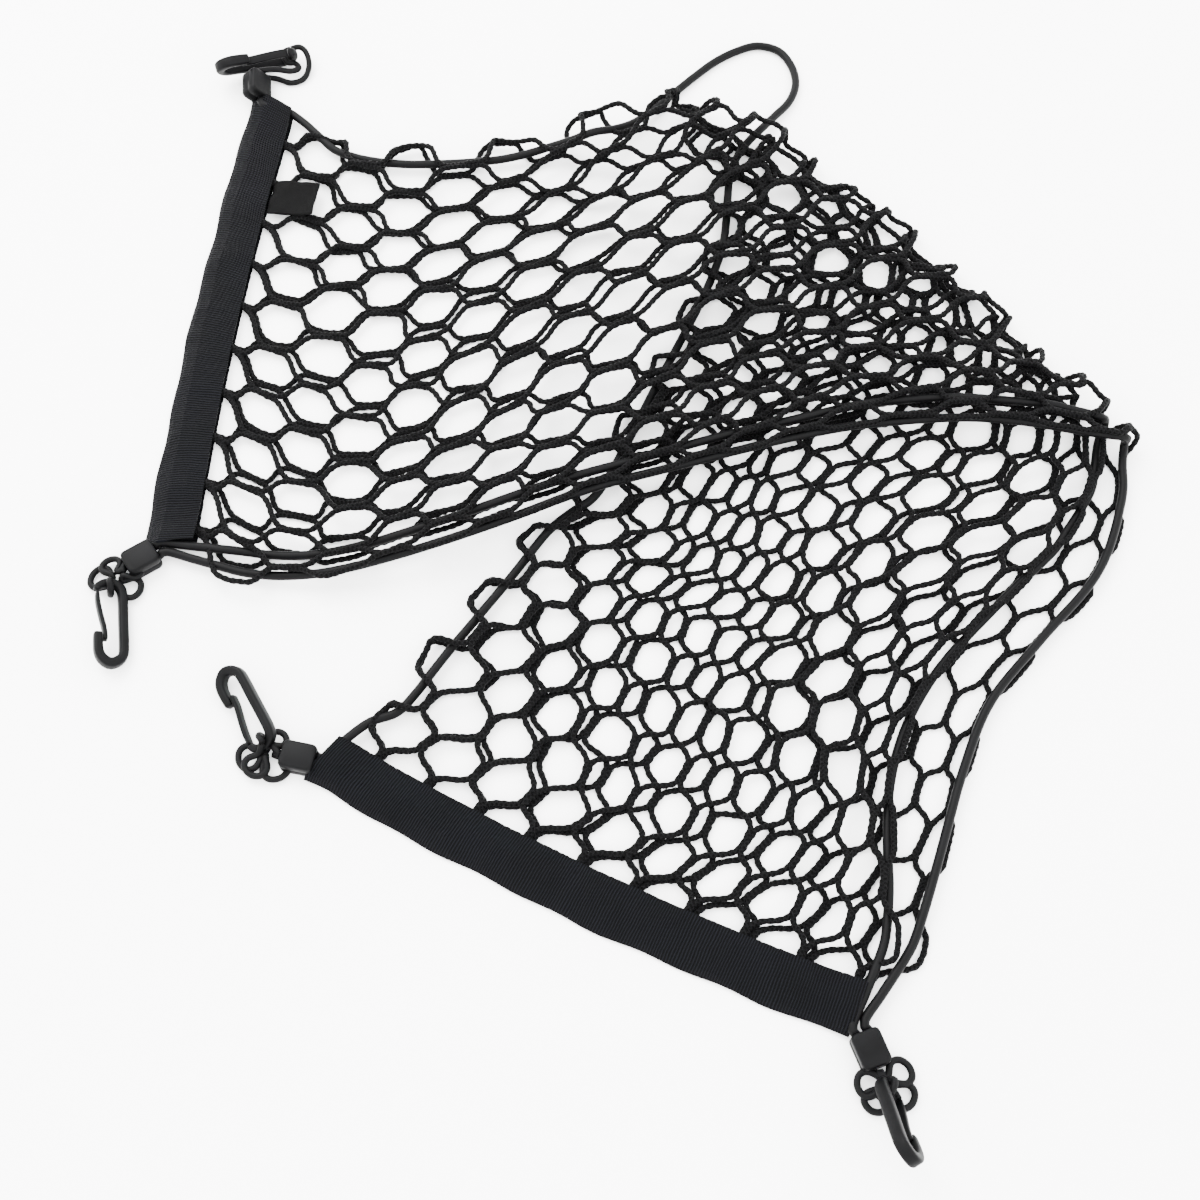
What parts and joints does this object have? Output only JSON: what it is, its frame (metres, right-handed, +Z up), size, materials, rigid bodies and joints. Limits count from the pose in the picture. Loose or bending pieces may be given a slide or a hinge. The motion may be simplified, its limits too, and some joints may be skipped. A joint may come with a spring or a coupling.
{
  "type": "car boot cargo net",
  "caption": "Envelope-type cargo net with webbing ends, elastic edge cords and snap hooks, lying loosely folded on a floor.",
  "frame": {"origin": "on the floor under the middle of the object's bounding box", "axes": "+Z up from the floor the net lies on, +X to the right and +Y away from the viewer, as in the picture"},
  "size_m": [0.5596, 0.6668, 0.0376],
  "materials": {
    "braid": "matte black braided polyester cord",
    "webbing": "black ribbed webbing",
    "elastic": "smooth black elastic cord, soft sheen",
    "plastic": "dark grey moulded plastic, fine matte texture",
    "tape": "black woven tape"
  },
  "bodies": {
    "root": {"net": "braid", "band_left": "webbing", "band_front": "webbing", "edge_cord_closed": "elastic", "edge_cord_outer": "elastic", "edge_cord_inner": "elastic", "end_block_1": "plastic", "end_block_2": "plastic", "end_block_3": "plastic", "end_block_4": "plastic", "hook_loop_1": "elastic", "hook_loop_2": "elastic", "hook_loop_3": "elastic", "hook_loop_4": "elastic", "hook_body_1": "plastic", "hook_body_2": "plastic", "hook_body_3": "plastic", "hook_body_4": "plastic", "label": "tape"},
    "gate_1": {"hook_gate_1": "plastic"},
    "gate_2": {"hook_gate_2": "plastic"},
    "gate_3": {"hook_gate_3": "plastic"},
    "gate_4": {"hook_gate_4": "plastic"}
  },
  "joints": [
    {"name": "gate_1_open", "type": "hinge", "parent": "root", "child": "gate_1", "pos_m": [-0.20473, 0.31489, 0.01414], "axis": [0.2687, -0.8762, -0.4002], "range_deg": [0, 10], "stiffness_Nm_per_rad": 0.004, "springref_deg": -5.73},
    {"name": "gate_2_open", "type": "hinge", "parent": "root", "child": "gate_2", "pos_m": [-0.27766, -0.04311, 0.0091], "axis": [0.4028, 0.0566, 0.9135], "range_deg": [0, 10], "stiffness_Nm_per_rad": 0.004, "springref_deg": -5.73},
    {"name": "gate_3_open", "type": "hinge", "parent": "root", "child": "gate_3", "pos_m": [-0.19133, -0.12635, 0.00389], "axis": [0.3522, 0.2034, -0.9135], "range_deg": [0, 10], "stiffness_Nm_per_rad": 0.004, "springref_deg": -5.73},
    {"name": "gate_4_open", "type": "hinge", "parent": "root", "child": "gate_4", "pos_m": [0.12175, -0.3008, 0.00372], "axis": [-0.77, -0.4503, -0.452], "range_deg": [0, 10], "stiffness_Nm_per_rad": 0.004, "springref_deg": -5.73}
  ]
}
